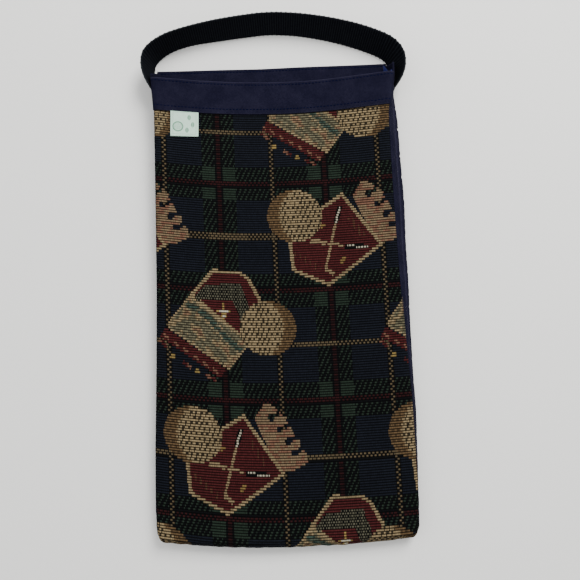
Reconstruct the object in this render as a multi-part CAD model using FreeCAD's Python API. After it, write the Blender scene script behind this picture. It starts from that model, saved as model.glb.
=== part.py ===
"""A soft golf shoe bag, empty and lying on its back.

Two tapestry panels, front and back, are joined by a tapestry base panel and by two navy twill gussets.
A twill band is folded over the mouth edge of each panel, and its inner half is sewn to the lining.
One strap of cotton webbing runs from gusset to gusset as the handle, and a small cloth label hangs from
the lower edge of the front band.

Millimetres. +X is the bag's right side seen from the front, +Y runs from base to mouth, +Z is up out of the
front panel. While it is modelled, y = 0 is the base fold, x = 0 the centre line and z = 0 the ground; every
piece is then moved so that the origin is the middle of the whole bag's footprint.
"""

import FreeCAD
import Part

import math
import os

from FreeCAD import Vector

# The outer skin: distance from the base, left and right edges of the front panel, height of the panel's
# edges and of its sagging middle, and how far each gusset stands out past the panel's edge.
STATIONS = [
    (8.0, 109.2, 109.0, 16.0, 15.0, 0.4, 0.4),
    (55.0, 110.6, 110.0, 16.0, 14.0, 0.0, 0.5),
    (125.0, 109.6, 107.4, 16.5, 12.8, -1.0, 2.2),
    (215.0, 109.2, 104.8, 18.0, 12.2, -1.0, 4.6),
    (315.0, 110.0, 102.2, 22.0, 12.5, 0.0, 6.6),
    (380.0, 110.6, 101.6, 25.0, 13.5, 0.4, 4.6),
    (432.0, 111.5, 102.6, 26.4, 15.5, 0.4, 1.8),
]
BACK_TUCK = 3.0  # how far the back panel's edges lie inside the front panel's
BASE_ROUND = 8.0  # radius of the nose round the base
BASE_NOSE_ANGLES = [70.0, 50.0, 28.0]

# Cloth thicknesses, and the distance of each layer's outer face inside the skin.
TAPESTRY = 1.2
LINING = 0.6
TWILL = 0.8
THREAD = 0.35
SKIN = 0.0
LINING_OUTSIDE = TAPESTRY
INSIDE = TAPESTRY + LINING
BAND_OUTSIDE = -TWILL
THREAD_OUTSIDE = -TWILL - THREAD

# Lengths from the base.
FRONT_MOUTH = 409.0
BACK_MOUTH = 426.5
BAND_DEPTH = 30.0
BASE_SEAM = 2.5  # the base panel ends here on the front
BASE_SEAM_GAP = 0.5  # room for the front panel to swing open at the seam
BASE_UNDERLAP = 18.0  # the base panel runs this far under the bag, to the back panel
GUSSET_HEM_FRONT = 413.0
GUSSET_HEM_BACK = 425.5
BAND_LIFT_START = 383.0  # the back rises off the ground here, by the thickness of its band
BAND_LIFT_END = 393.0
BAND_LIFT = 1.2

STITCH_WIDTH = 0.6
TOP_STITCH_IN = 2.8  # the rows of stitches lie this far in from the band's edges
LOWER_STITCH_IN = 3.2

# The handle: a strap of webbing that stands on its edge. Its lower edge's route, and how far the upper edge
# leans outwards from it.
WEBBING_WIDTH = 25.4
WEBBING_THICK = 2.0
WEBBING_GROUND = 0.6
STRAP_ROUTE = [
    (-116.0, 394.0, 0.0),
    (-116.0, 416.0, 0.0),
    (-117.2, 423.0, 2.4),
    (-115.4, 431.6, 4.6),
    (-109.0, 439.6, 5.4),
    (-97.0, 447.2, 5.0),
    (-80.0, 452.6, 5.2),
    (-58.0, 455.8, 7.6),
    (-34.0, 458.8, 8.8),
    (-8.0, 461.2, 9.0),
    (18.0, 459.6, 9.4),
    (44.0, 454.6, 10.6),
    (68.0, 447.6, 12.0),
    (88.0, 439.6, 12.4),
    (101.0, 431.2, 10.0),
    (108.2, 423.0, 5.4),
    (109.6, 416.0, 0.0),
    (109.6, 394.0, 0.0),
]
BOX_STITCH_SIDE = 17.0
BOX_STITCH_EDGE = 2.5

LABEL_SIZE = 25.4
LABEL_THICK = 0.6
LABEL_FROM_EDGE = 14.6
LABEL_LIFT = 0.6  # clear of the panel under it
LABEL_BAND_GAP = 0.7

FAR = 300.0


def shape_at(y):
    """The outer skin's numbers at a distance from the base, straight between two stations."""
    for low, high in zip(STATIONS, STATIONS[1:]):
        if y <= high[0]:
            share = max(0.0, (y - low[0]) / (high[0] - low[0]))
            return [a + share * (b - a) for a, b in zip(low[1:], high[1:])]
    return list(STATIONS[-1][1:])


def section(y, inset, depth):
    """The skin's outline across the bag at y, drawn in by inset round the nose and by depth for a layer."""
    left, right, edge, middle, left_bulge, right_bulge = shape_at(y)
    pull = inset + depth
    left, right = left - pull, right - pull
    edge, middle = edge - pull, middle - pull
    floor = pull - 0.5
    back_left, back_right = left - BACK_TUCK, right - BACK_TUCK
    shoulder = (edge + floor) / 2

    def at(x, z):
        return Vector(x, y, z)

    edges = [
        Part.LineSegment(at(-back_left, floor), at(back_right, floor)).toShape(),
        Part.Arc(at(back_right, floor), at(right + right_bulge, shoulder), at(right, edge)).toShape(),
        Part.Arc(at(right, edge), at((right - left) / 2, middle), at(-left, edge)).toShape(),
        Part.Arc(at(-left, edge), at(-left - left_bulge, shoulder), at(-back_left, floor)).toShape(),
    ]
    return Part.Wire(edges)


def block(y0, y1, x0=-FAR, x1=FAR, z0=-FAR, z1=FAR):
    return Part.makeBox(x1 - x0, y1 - y0, z1 - z0, Vector(x0, y0, z0))


def prism(outline, axis):
    """A flat outline pushed from -FAR by 2 FAR along an axis."""
    wire = Part.makePolygon([p - axis * FAR for p in outline + outline[:1]])
    return Part.Face(wire).extrude(axis * (2 * FAR))


def above_floor(depth):
    """Everything above the ground line, which rises a little under the back band."""
    outline = [
        Vector(0, -FAR, depth),
        Vector(0, BAND_LIFT_START, depth),
        Vector(0, BAND_LIFT_END, depth + BAND_LIFT),
        Vector(0, 2 * FAR, depth + BAND_LIFT),
        Vector(0, 2 * FAR, FAR),
        Vector(0, -FAR, FAR),
    ]
    return prism(outline, Vector(1, 0, 0))


def filled(depth):
    """The whole bag as if solid, with its skin moved in by depth."""
    radius = BASE_ROUND - depth
    wires = []
    for angle in BASE_NOSE_ANGLES:
        a = math.radians(angle)
        y = depth + radius * (math.sin(math.radians(BASE_NOSE_ANGLES[0])) - math.sin(a))
        wires.append(section(y, radius * (1 - math.cos(a)), depth))
    wires += [section(station[0], 0.0, depth) for station in STATIONS]
    return Part.makeLoft(wires, True, True).common(above_floor(depth))


def region(outline_at):
    """A solid that follows the bag's length, made from a few corners at each station."""
    stations = [(-20.0,) + STATIONS[0][1:]] + STATIONS[1:-1] + [(FAR * 1.7,) + STATIONS[-1][1:]]
    wires = []
    for y, left, right, edge, *_ in stations:
        points = [Vector(x, y, z) for x, z in outline_at(left, right, edge)]
        wires.append(Part.makePolygon(points + points[:1]))
    return Part.makeLoft(wires, True, True)


def front_outline(left, right, edge):
    """Above the mitred corners where the front panel meets the gussets."""
    return [
        (-left - 9, edge + 9),
        (right + 9, edge + 9),
        (right - 5, edge - 5),
        (right - 12, 4),
        (12 - left, 4),
        (5 - left, edge - 5),
    ]


def back_outline(left, right, _):
    """Below the mitred corners where the back panel meets the gussets."""
    left, right = left - BACK_TUCK, right - BACK_TUCK
    return [(-left - 9, -9), (right + 9, -9), (right - 3.6, 3.6), (3.6 - left, 3.6)]


def below_hem():
    """Everything below the gussets' hem, which slopes from the back panel's mouth to the front one's."""
    outline = [
        Vector(0, -FAR, -FAR),
        Vector(0, GUSSET_HEM_BACK, -FAR),
        Vector(0, GUSSET_HEM_BACK, 0),
        Vector(0, GUSSET_HEM_FRONT, STATIONS[-1][3]),
        Vector(0, GUSSET_HEM_FRONT, FAR),
        Vector(0, -FAR, FAR),
    ]
    return prism(outline, Vector(1, 0, 0))


def joined(shapes):
    whole = shapes[0]
    for shape in shapes[1:]:
        whole = whole.fuse(shape)
    return whole.removeSplitter()


def make_band(skins, side, mouth):
    """Twill folded over a panel's mouth edge: an outer half, the fold, and an inner half in the lining."""
    start = mouth - BAND_DEPTH
    outer = skins[BAND_OUTSIDE].cut(skins[SKIN]).common(side).common(block(start, mouth))
    fold = skins[BAND_OUTSIDE].cut(skins[INSIDE]).common(side).common(block(mouth, mouth + TWILL))
    inner = skins[LINING_OUTSIDE].cut(skins[INSIDE]).common(side).common(block(start, mouth))
    return joined([outer, fold, inner])


def make_stitch_row(skins, side, y):
    row = skins[THREAD_OUTSIDE].cut(skins[BAND_OUTSIDE])
    return row.common(side).common(block(y, y + STITCH_WIDTH))


def make_panels(skins, front, back):
    shell = skins[SKIN].cut(skins[LINING_OUTSIDE])
    base_end = block(-FAR, BASE_SEAM)
    under = back.common(block(BASE_SEAM, BASE_UNDERLAP))
    return {
        "front_panel": shell.common(front).common(block(BASE_SEAM + BASE_SEAM_GAP, FRONT_MOUTH)),
        "back_panel": shell.common(back).common(block(BASE_UNDERLAP, BACK_MOUTH)),
        "base_panel": joined([shell.common(base_end), shell.common(under)]),
    }


def make_linings(skins, front, back):
    sheet = skins[LINING_OUTSIDE].cut(skins[INSIDE])
    return {
        "front_lining": sheet.common(front).common(block(BASE_SEAM + BASE_SEAM_GAP, FRONT_MOUTH - BAND_DEPTH)),
        "back_lining": sheet.common(back).common(block(BASE_SEAM, BACK_MOUTH - BAND_DEPTH)),
        "base_lining": sheet.common(block(-FAR, BASE_SEAM)),
    }


def make_gussets(skins, front, back):
    """The two side strips of the shell, and their linings."""
    pieces = {}
    sides = {"left": block(-FAR, 2 * FAR, x1=0), "right": block(-FAR, 2 * FAR, x0=0)}
    layers = {
        "gusset": (SKIN, LINING_OUTSIDE),
        "gusset_lining": (LINING_OUTSIDE, INSIDE),
    }
    for layer, (outer, inner) in layers.items():
        ring = skins[outer].cut(skins[inner]).cut(front).cut(back)
        ring = ring.common(block(BASE_SEAM, 2 * FAR)).common(below_hem())
        for side, half in sides.items():
            pieces[f"{side}_{layer}"] = ring.common(half)
    return pieces


def strap_frames():
    """At each point of the strap's route: the lower edge, the upper edge and the flat normal, which points out."""
    frames = []
    last = len(STRAP_ROUTE) - 1
    for i, (x, y, lean) in enumerate(STRAP_ROUTE):
        before, after = STRAP_ROUTE[max(i - 1, 0)], STRAP_ROUTE[min(i + 1, last)]
        if i == 1:
            after = (x, y)
        if i == last - 1:
            before = (x, y)
        along = Vector(after[0] - before[0], after[1] - before[1], 0)
        along.normalize()
        out = Vector(-along.y, along.x, 0)
        rise = math.sqrt(WEBBING_WIDTH**2 - lean**2)
        low = Vector(x, y, WEBBING_GROUND)
        frames.append((low, low + out * lean + Vector(0, 0, rise), out))
    return frames


def make_strap():
    """The webbing. Both ends are folded under, so they are two layers thick where they are sewn on."""
    half = WEBBING_THICK / 2
    wires = []
    for low, high, out in strap_frames():
        corners = [low - out * half, low + out * half, high + out * half, high - out * half]
        wires.append(Part.makePolygon(corners + corners[:1]))
    pieces = [Part.makeLoft(wires, True, True)]
    for end, inner in ((STRAP_ROUTE[0], STRAP_ROUTE[1]), (STRAP_ROUTE[-1], STRAP_ROUTE[-2])):
        inward = -math.copysign(1.0, end[0])
        x0, x1 = sorted((end[0], end[0] + inward * (half + WEBBING_THICK)))
        top = WEBBING_GROUND + WEBBING_WIDTH
        pieces.append(block(end[1], inner[1], x0, x1, WEBBING_GROUND, top))
    return joined(pieces)


def make_box_stitch(x, side):
    """A sewn square with a cross in it, on the strap's outer face."""
    half = BOX_STITCH_SIDE / 2
    middle_y, middle_z = pivot_line()
    bars = []
    reach = half * math.sqrt(2)
    lines = [(0, half, half), (90, half, half), (180, half, half), (270, half, half), (45, 0, reach), (135, 0, reach)]
    for angle, off, length in lines:
        bar = Part.makeBox(THREAD, 2 * length, STITCH_WIDTH, Vector(0, -length, off - STITCH_WIDTH / 2))
        bar.rotate(Vector(0, 0, 0), Vector(1, 0, 0), angle)
        bars.append(bar)
    stitch = joined(bars)
    outer_face = x + side * WEBBING_THICK / 2
    stitch.translate(Vector(outer_face if side > 0 else outer_face - THREAD, middle_y, middle_z))
    return stitch


def pivot_line():
    """Where the handle turns: the middle of its sewn ends, as y and z."""
    return STRAP_ROUTE[0][1] + BOX_STITCH_EDGE + BOX_STITCH_SIDE / 2, WEBBING_GROUND + WEBBING_WIDTH / 2


def front_height(x, y):
    """The height of the front panel's outer face, on the arc across the bag."""
    left, right, edge, middle, *_ = shape_at(y)
    half, centre, sag = (left + right) / 2, (right - left) / 2, edge - middle
    radius = (half**2 + sag**2) / (2 * sag)
    return middle + radius - math.sqrt(radius**2 - (x - centre) ** 2)


def label_corners():
    """The label's underside: its two upper corners and its lower left one."""
    top = FRONT_MOUTH - BAND_DEPTH - LABEL_BAND_GAP
    left = LABEL_FROM_EDGE - shape_at(top)[0]
    spots = [(left, top), (left + LABEL_SIZE, top), (left, top - LABEL_SIZE)]
    return [Vector(x, y, front_height(x, y) + LABEL_LIFT) for x, y in spots]


def make_label():
    first, second, third = label_corners()
    across, down = second - first, third - first
    up = down.cross(across)
    up.normalize()
    outline = [first, second, second + down, third]
    return Part.Face(Part.makePolygon(outline + outline[:1])).extrude(up * LABEL_THICK)


def make_pieces():
    depths = [THREAD_OUTSIDE, BAND_OUTSIDE, SKIN, LINING_OUTSIDE, INSIDE]
    skins = {depth: filled(depth) for depth in depths}
    front, back = region(front_outline), region(back_outline)
    pieces = {}
    pieces.update(make_panels(skins, front, back))
    pieces.update(make_linings(skins, front, back))
    pieces.update(make_gussets(skins, front, back))
    for name, side, mouth in (("front", front, FRONT_MOUTH), ("back", back, BACK_MOUTH)):
        pieces[f"{name}_band"] = make_band(skins, side, mouth)
        top_row = mouth + TWILL - TOP_STITCH_IN
        lower_row = mouth - BAND_DEPTH + LOWER_STITCH_IN
        pieces[f"{name}_band_top_stitching"] = make_stitch_row(skins, side, top_row)
        pieces[f"{name}_band_lower_stitching"] = make_stitch_row(skins, side, lower_row)
    pieces["handle_webbing"] = make_strap()
    pieces["left_box_stitching"] = make_box_stitch(STRAP_ROUTE[0][0], -1)
    pieces["right_box_stitching"] = make_box_stitch(STRAP_ROUTE[-1][0], 1)
    pieces["cloth_label"] = make_label()
    return pieces


def main():
    pieces = make_pieces()
    box = FreeCAD.BoundBox()
    for shape in pieces.values():
        box.add(shape.optimalBoundingBox(True, False))
    shift = Vector(-box.Center.x, -box.Center.y, -box.ZMin)
    os.makedirs("parts", exist_ok=True)
    for name, shape in sorted(pieces.items()):
        shape.translate(shift)
        shape.exportStep(f"parts/{name}.step")
        facts = f"{len(shape.Solids)} solid(s), {shape.Volume:.0f} mm3"
        print(f"{name}: {facts}, valid {shape.isValid()}")
    pivot = Vector(0, *pivot_line()) + shift
    seam = Vector(0, BASE_SEAM + BASE_SEAM_GAP, STATIONS[0][3] - TAPESTRY / 2) + shift
    first, second, _ = [corner + shift for corner in label_corners()]
    print("overall size", box.XLength, box.YLength, box.ZLength, "shift", shift)
    print("handle pivot", pivot, "base seam", seam)
    print("label hinge from", first, "to", second)


main()
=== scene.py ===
import bisect
import functools
import math

import bmesh
import bpy
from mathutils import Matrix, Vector, noise
from mathutils.bvhtree import BVHTree


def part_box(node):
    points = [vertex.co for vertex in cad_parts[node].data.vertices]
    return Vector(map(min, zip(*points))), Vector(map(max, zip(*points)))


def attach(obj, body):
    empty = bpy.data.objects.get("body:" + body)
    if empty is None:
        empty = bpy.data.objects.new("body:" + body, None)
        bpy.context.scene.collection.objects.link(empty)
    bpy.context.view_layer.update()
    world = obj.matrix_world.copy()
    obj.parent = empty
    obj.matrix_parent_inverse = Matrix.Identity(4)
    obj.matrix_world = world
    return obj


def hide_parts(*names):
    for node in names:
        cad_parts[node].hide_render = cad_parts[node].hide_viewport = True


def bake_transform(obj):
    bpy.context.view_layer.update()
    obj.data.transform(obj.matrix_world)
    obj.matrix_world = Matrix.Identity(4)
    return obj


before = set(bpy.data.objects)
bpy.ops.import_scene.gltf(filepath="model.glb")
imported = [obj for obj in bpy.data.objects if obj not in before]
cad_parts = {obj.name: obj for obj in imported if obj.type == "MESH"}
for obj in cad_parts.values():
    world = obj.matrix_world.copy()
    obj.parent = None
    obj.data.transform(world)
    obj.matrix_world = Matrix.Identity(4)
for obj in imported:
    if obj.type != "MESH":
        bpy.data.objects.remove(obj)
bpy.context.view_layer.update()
mm = 0.001


def low(node):
    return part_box(node)[0] / mm


def high(node):
    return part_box(node)[1] / mm


# numbers and colours that flow through a material's nodes


class Flow:
    def __init__(self, tree, socket):
        self.tree, self.socket = tree, socket

    def step(self, operation, *others):
        node = self.tree.nodes.new("ShaderNodeMath")
        node.operation = operation
        self.tree.links.new(self.socket, node.inputs[0])
        for slot, other in enumerate(others, 1):
            feed(self.tree, other, node.inputs[slot])
        return Flow(self.tree, node.outputs[0])

    def share(self, period):  # how far through its period the number is, 0 to 1
        return (self / period).step("FRACT")


binary = {"__add__": "ADD", "__sub__": "SUBTRACT", "__mul__": "MULTIPLY", "__truediv__": "DIVIDE"}
binary |= {"under": "LESS_THAN", "over": "GREATER_THAN", "most": "MAXIMUM", "least": "MINIMUM"}
for name, operation in binary.items():
    setattr(Flow, name, lambda flow, other, how=operation: flow.step(how, other))
for name, operation in {"floor": "FLOOR", "size": "ABSOLUTE", "wave": "SINE"}.items():
    setattr(Flow, name, lambda flow, how=operation: flow.step(how))


def feed(tree, value, socket):
    if isinstance(value, (Flow, Tint)):
        tree.links.new(value.socket, socket)
    elif isinstance(value, tuple):
        socket.default_value = (*value, 1.0)
    else:
        socket.default_value = value


class Tint:
    def __init__(self, tree, socket):
        self.tree, self.socket = tree, socket

    def paint(self, mask, other):  # the other colour where the mask is 1
        node = self.tree.nodes.new("ShaderNodeMix")
        node.data_type = "RGBA"
        feed(self.tree, mask, node.inputs[0])
        self.tree.links.new(self.socket, node.inputs[6])
        feed(self.tree, other, node.inputs[7])
        return Tint(self.tree, node.outputs[2])

    def shaded(self, light):  # light is a Flow that multiplies the colour
        node = self.tree.nodes.new("ShaderNodeVectorMath")
        node.operation = "SCALE"
        self.tree.links.new(self.socket, node.inputs[0])
        self.tree.links.new(light.socket, node.inputs["Scale"])
        return Tint(self.tree, node.outputs[0])


class Spot:  # a place on the cloth, in millimetres
    def __init__(self, x, y):
        self.x, self.y, self.tree, self.joined = x, y, x.tree, None

    def vector(self):
        if self.joined is None:
            node = self.tree.nodes.new("ShaderNodeCombineXYZ")
            self.tree.links.new(self.x.socket, node.inputs[0])
            self.tree.links.new(self.y.socket, node.inputs[1])
            node.inputs[2].default_value = 1.0
            self.joined = node.outputs[0]
        return self.joined

    def measure(self, operation, values):
        node = self.tree.nodes.new("ShaderNodeVectorMath")
        node.operation = operation
        self.tree.links.new(self.vector(), node.inputs[0])
        node.inputs[1].default_value = values
        return Flow(self.tree, node.outputs["Value"])

    def plane(self, a, b, c):  # a x + b y + c
        return self.measure("DOT_PRODUCT", (a, b, c))

    def reach(self, x, y):  # distance to x, y
        return self.measure("DISTANCE", (x, y, 1.0))

    def colour(self, rgb):
        node = self.tree.nodes.new("ShaderNodeRGB")
        node.outputs[0].default_value = (*rgb, 1.0)
        return Tint(self.tree, node.outputs[0])

    def chance(self):  # a fixed random number for each place
        node = self.tree.nodes.new("ShaderNodeTexWhiteNoise")
        node.noise_dimensions = "2D"
        self.tree.links.new(self.vector(), node.inputs["Vector"])
        return Flow(self.tree, node.outputs["Value"])

    def cloud(self, scale, detail=3.0):  # soft noise, 0 to 1, scale per millimetre
        node = self.tree.nodes.new("ShaderNodeTexNoise")
        node.inputs["Scale"].default_value = scale
        node.inputs["Detail"].default_value = detail
        self.tree.links.new(self.vector(), node.inputs["Vector"])
        return Flow(self.tree, node.outputs["Fac"])


def newMaterial(name, roughness, sheen=0.0, gloss=0.06):
    made = bpy.data.materials.new(name)
    made.use_nodes = True
    shader = made.node_tree.nodes["Principled BSDF"]
    shader.inputs["Roughness"].default_value = roughness
    shader.inputs["Specular IOR Level"].default_value = gloss
    shader.inputs["Sheen Weight"].default_value = sheen
    shader.inputs["Sheen Roughness"].default_value = 0.6
    return made, made.node_tree, shader


def clothSpot(tree):  # the piece's own cloth map, laid out in metres
    node = tree.nodes.new("ShaderNodeUVMap")
    node.uv_map = "cloth"
    split = tree.nodes.new("ShaderNodeSeparateXYZ")
    tree.links.new(node.outputs[0], split.inputs[0])
    return Spot(Flow(tree, split.outputs[0]) * 1000, Flow(tree, split.outputs[1]) * 1000)


def attribute(tree, name):
    node = tree.nodes.new("ShaderNodeAttribute")
    node.attribute_name = name
    return Flow(tree, node.outputs["Fac"])


def finishMaterial(tree, shader, colour, height, depth):
    tree.links.new(colour.socket, shader.inputs["Base Color"])
    bump = tree.nodes.new("ShaderNodeBump")
    bump.inputs["Strength"].default_value = 1.0
    bump.inputs["Distance"].default_value = depth * mm
    tree.links.new(height.socket, bump.inputs["Height"])
    tree.links.new(bump.outputs[0], shader.inputs["Normal"])


# tapestry: a plaid ground with crests, ribbons and balls woven in

weave = {
    "row": 2.18,  # from one row of weft to the next
    "step": 0.86,  # how far a figure's edge moves at a time along a row
    "checkWide": 94.6,
    "checkHigh": 97.0,
    "greenHalf": 14.8,
    "twill": 4.2,
    "crest": (113.2, -78.8),
    "ribbon": (85.5, -179.3),
    "repeat": (189.2, 194.0),
    "navy": (0.0046, 0.0058, 0.0096),
    "black": (0.0015, 0.0017, 0.0022),
    "green": (0.0115, 0.0190, 0.0130),
    "maroon": (0.042, 0.0082, 0.0085),
    "tan": (0.180, 0.134, 0.072),
    "brown": (0.080, 0.050, 0.024),
    "crown": (0.130, 0.090, 0.052),
    "rose": (0.120, 0.060, 0.038),
    "sage": (0.064, 0.068, 0.045),
    "teal": (0.022, 0.044, 0.036),
    "white": (0.36, 0.33, 0.25),
    "gold": (0.20, 0.14, 0.045),
}


def depthInside(at, corners):  # how deep a spot lies in a convex outline given clockwise
    deep = None
    for (x0, y0), (x1, y1) in zip(corners, corners[1:] + corners[:1]):
        long = math.hypot(x1 - x0, y1 - y0)
        a, b = (y1 - y0) / long, (x0 - x1) / long
        side = at.plane(a, b, -(a * x0 + b * y0))
        deep = side if deep is None else deep.least(side)
    return deep


def bar(at, start, end, half):  # 1 on a straight bar, 0 off it
    long = math.hypot(end[0] - start[0], end[1] - start[1])
    a, b = (end[0] - start[0]) / long, (end[1] - start[1]) / long
    along = at.plane(a, b, -(a * start[0] + b * start[1]) - long / 2).size()
    across = at.plane(b, -a, a * start[1] - b * start[0]).size()
    return (along - long / 2).most(across - half).under(0)


def bars(at, *rows):  # 1 on any of several bars
    return functools.reduce(Flow.most, [bar(at, *row) for row in rows])


def plaid(w, at, odd):
    stepX, stepY = at.x.share(w["checkWide"]), at.y.share(w["checkHigh"])
    farX = ((stepX - 0.5) * w["checkWide"]).size()  # from the maroon line in a green band
    farY = ((stepY - 0.5) * w["checkHigh"]).size()
    bandX, bandY = farX.under(w["greenHalf"]), farY.under(w["greenHalf"])
    band = bandX.most(bandY)
    twill = (at.x - at.y * 0.5).share(w["twill"]).under(0.34)
    dot = (at.x / 3.4 + odd * 0.5).share(1.0).under(0.62)
    cloth = at.colour(w["navy"]).paint(band, w["black"])
    cloth = cloth.paint((band * twill).most(bandX * bandY), w["green"])
    cloth = cloth.paint(farX.under(3.1).most(farY.under(3.6)), w["black"])
    maroon = (farX.under(1.3) * (odd * -0.5 + 0.8)).most(farY.under(2.3) * dot)
    cloth = cloth.paint(maroon * 0.42, w["maroon"])
    tanX, tanY = farX * -1 + w["checkWide"] / 2, farY * -1 + w["checkHigh"] / 2
    cloth = cloth.paint(tanX.under(2.4).most(tanY.under(3.1)), w["black"])
    slip = (stepX + 0.5).share(1.0) * w["checkWide"] - w["checkWide"] / 2
    twist = (slip + odd * 1.3 - 0.65).size().under(0.75)
    return cloth.paint(twist.most(tanY.under(2.2) * dot) * 0.36, w["tan"])


def ball(w, at, cloth, odd, pair, turn):  # turn is the side of the shaded crescent, -1 left, 1 right
    disc = at.reach(0, 0).under(24.4)
    bright = at.reach(-turn * 14.5, 0).under(27.5)
    seam = (at.reach(-turn * 14.5, 0) - 27.8).size().under(0.9) * odd
    mark = ((at.x / 4.4 + pair * 0.5).share(1.0) + at.chance() * 0.3).under(odd * 0.34 + 0.26)
    shade = (at.x / 4.4 + pair * 0.5 + 0.5).share(1.0).under(0.5) * odd
    cloth = cloth.paint(disc, w["brown"]).paint(disc * shade * 0.5, w["black"])
    cloth = cloth.paint(disc * bright, w["tan"]).paint(disc * bright * mark * 0.9, w["black"])
    return cloth.paint(disc * seam * 0.8, w["tan"])


def framed(w, at, cloth, outline, odd):  # a shield with a border of short bars
    deep = depthInside(at, outline)
    bars = (deep.over(0) * (deep.under(1.6).most(odd * -0.25 + 1)))
    return cloth.paint(deep.over(0), w["black"]).paint(bars, w["tan"]).paint(deep.over(3.0), w["maroon"])


def crest(w, at, cloth, odd):
    body = [(52, 15.6), (58, 25), (69, 27), (78, 16), (89, -5), (96, -21), (84, -27.5), (71, -28)]
    crown = depthInside(at, body).over(0)
    for x, y in ((63, 25.3), (80, 5.5), (91, -15)):
        crown = crown.most(at.reach(x, y).under(3.9))
    for x, y in ((66.3, 16.8), (73.3, 6.5), (80, -3.2), (85, -13)):
        gap = at.reach(x, y).under(2.9).most(bar(at, (x, y), (x + 7.5, y + 4), 1.5))
        crown = crown * (gap * -1 + 1)
    for x, y in ((77.5, 16.6), (88.3, -4.5)):
        crown = crown.most(at.reach(x, y).under(1.9))
    mottle = (at.cloud(0.16, 1.0) + odd * 0.12).over(0.60)
    cloth = cloth.paint(crown, w["crown"]).paint(crown * mottle, w["rose"])
    cloth = framed(w, at, cloth, [(43.3, 19.8), (76.6, -30.3), (27.5, -65), (-4.5, -50), (-7.5, -12)], odd)
    dots = bars(at, ((48, -3), (60, -22), 2.2), ((-1, -33), (19.6, -50), 2.2))
    dots = dots * ((at.x + at.y) / 4.4 + odd * 0.5).share(1.0).under(0.3)
    cloth = cloth.paint(dots * 0.4, w["brown"])
    upright = ((35.8, -9), (25, -49), 1.1), ((25, -49), (31.7, -54.3), 1.7)
    level = ((12.9, -22.8), (26, -25.5), 2.0), ((26, -25.5), (42, -28.9), 1.1)
    cloth = cloth.paint(bars(at, *upright, *level) * 0.85, w["tan"])
    grip = bars(at, ((40.4, 6.5), (36.2, -8), 2.0), ((43, -29.3), (63.5, -31.5), 2.0))
    cloth = cloth.paint(grip, w["black"])
    knurl = bar(at, (45, -29.5), (63, -31.4), 1.0) * at.x.share(2.6).under(0.5)
    cloth = cloth.paint(bar(at, (40.4, 6.0), (36.2, -7.5), 0.8).most(knurl) * 0.8, w["white"])
    mark = bars(at, ((38.6, -44.4), (42.4, -39.2), 1.5), ((23, -10.6), (27, -10.2), 1.2))
    return cloth.paint(mark * 0.6, w["gold"])


def ribbonCrest(w, at, cloth, odd):
    outline = [(-47, 52), (-22.6, 51), (-14.7, 45.5), (-5.2, 26.5), (-4, -13), (-18.2, -13), (-67, 28)]
    cloth = framed(w, at, cloth, outline, odd)
    bend = depthInside(at, [(-53, 37.7), (-22.6, 40.2), (-15.9, 20), (-15.9, 0), (-60, 0), (-62, 27)])
    hollow = depthInside(at, [(-70, 23), (-29.7, 24.4), (-24.7, 10.8), (-22, 0), (-70, -8)])
    trim = bend.over(0) * hollow.under(0)
    speck = (at.x / 2.2 + odd * 0.5).share(1.0).under(0.45)
    cloth = cloth.paint(trim * 0.8, w["sage"]).paint(trim * speck, w["black"])
    flower = bars(at, ((-38, 8), (-38, 21.5), 0.9), ((-44, 14.2), (-32, 14.2), 1.3))
    cloth = cloth.paint(flower.most(at.reach(-38, 11).under(2.6)) * 0.85, w["gold"])
    cloth = cloth.paint(bar(at, (-42, 14.2), (-34, 14.2), 0.8).most(at.reach(-38, 10.4).under(1.2)), w["white"])
    along = at.plane(0.842, -0.540, 69.9)  # along the ribbon's lower edge
    down = at.plane(-0.540, -0.842, -49.45)
    fringe = down.over(0.8) * down.under(10.5) * (along - 28).size().under(30)
    tassel = ((along + down * 0.4) / 4.4 + odd * 0.5).share(1.0).under(0.5)
    cloth = cloth.paint(fringe, w["maroon"])
    cloth = cloth.paint(fringe * tassel * (down - 7.4).size().under(1.3), w["rose"])
    tails = ((-93, -14.4), (-87, -20.5)), ((-55.5, -41.5), (-45.5, -46.3)), ((-73.8, -32), (-67.2, -36.8))
    ends = bars(at, *((start, end, 1.5) for start, end in tails))
    cloth = cloth.paint(ends, w["maroon"]).paint(ends * tassel * 0.8, w["rose"])
    knot = at.reach(-82.2, -28.1).under(2.3).most(at.reach(-61.8, -39.6).under(2.3))
    cloth = cloth.paint(knot * 0.8, w["gold"])
    shape = [(-85.5, 2), (-66.8, 27.5), (-22.6, -7), (-18, -15.7), (-34.7, -36.5), (-85.5, -3.9)]
    ribbon = depthInside(at, shape)
    top = at.plane(-0.615, -0.788, -19.41)  # below the ribbon's upper edge
    mottle = at.cloud(0.13, 2.0)
    cloth = cloth.paint(ribbon.over(0), w["tan"])
    cloth = cloth.paint(ribbon.over(1.5) * mottle.over(0.47) * 0.75, w["sage"])
    cloth = cloth.paint(ribbon.over(1.5) * (mottle + odd * 0.05).under(0.40) * 0.7, w["rose"])
    fold = (top + (along * 0.09).wave() * 2.5 - 8).size().under(2.4)
    cloth = cloth.paint(ribbon.over(2.5) * fold * (odd * 0.3 + 0.6), w["teal"])
    lines = (top / 4.6 + (along * 0.07).wave() * 0.5).share(1.0).under(0.32)
    return cloth.paint(ribbon.over(1.2) * lines * 0.45, w["black"])


def wrapped(at, centre, repeat, left, below):  # the spot, seen from its nearest copy of a figure
    wide, tall = repeat
    rise = (at.y - (centre[1] - below)) / tall
    level = rise.floor()
    over = at.x - (centre[0] - left) + level * (wide / 2)
    return Spot(over.share(wide) * wide - left, (rise - level) * tall - below)


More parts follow.
